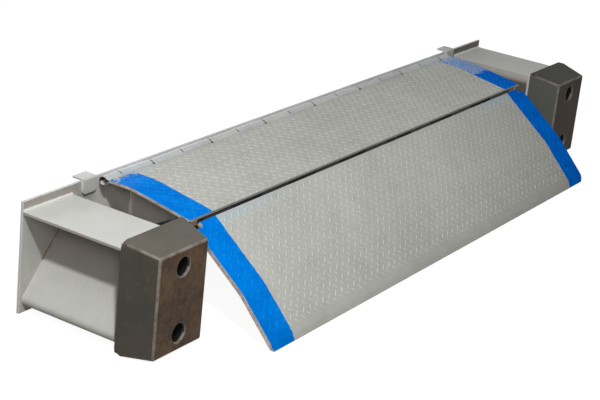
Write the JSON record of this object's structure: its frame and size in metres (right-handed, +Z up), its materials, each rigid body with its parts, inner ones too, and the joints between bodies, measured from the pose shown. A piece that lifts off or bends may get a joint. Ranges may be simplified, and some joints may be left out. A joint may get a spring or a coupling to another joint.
{
  "type": "edge-of-dock leveler",
  "caption": "Edge-of-dock leveler: a hinged tread-plate deck and drop lip between Z-section bumper brackets with rubber bumpers, all carried by one long back plate.",
  "frame": {"origin": "middle of the lower edge of the back plate's rear face, where it meets the floor", "axes": "+X along the dock edge, to the right seen from the truck, +Y into the dock, +Z up"},
  "size_m": [2.412, 0.6223, 0.311],
  "materials": {
    "grey_paint": "satin grey paint, worn at the edges",
    "deck_paint": "satin grey paint on raised tread plate with blue side stripes",
    "bumper_rubber": "matt moulded rubber, mottled and scuffed",
    "pin_steel": "plain turned steel"
  },
  "bodies": {
    "frame": {"back_plate": "grey_paint", "left_hanger_tab": "grey_paint", "right_hanger_tab": "grey_paint", "fixed_rear_knuckles": "grey_paint", "rear_hinge_pin": "pin_steel", "left_deck_support": "grey_paint", "right_deck_support": "grey_paint", "left_bumper_bracket": "grey_paint", "right_bumper_bracket": "grey_paint", "left_bumper_plate": "grey_paint", "right_bumper_plate": "grey_paint", "left_bumper": "bumper_rubber", "right_bumper": "bumper_rubber", "left_bumper_bolts": "pin_steel", "right_bumper_bolts": "pin_steel"},
    "deck": {"deck_plate": "deck_paint", "moving_rear_knuckles": "grey_paint", "deck_front_knuckles": "grey_paint", "lip_hinge_pin": "pin_steel"},
    "lip": {"lip_plate": "deck_paint", "lip_knuckles": "grey_paint"}
  },
  "joints": [
    {"name": "deck_hinge", "type": "hinge", "parent": "frame", "child": "deck", "pos_m": [0, -0.027, 0.294], "axis": [-1, 0, 0], "range_deg": [0, 45]},
    {"name": "lip_hinge", "type": "hinge", "parent": "deck", "child": "lip", "pos_m": [0, -0.29948, 0.25346], "axis": [-1, 0, 0], "range_deg": [-51, 28]}
  ]
}
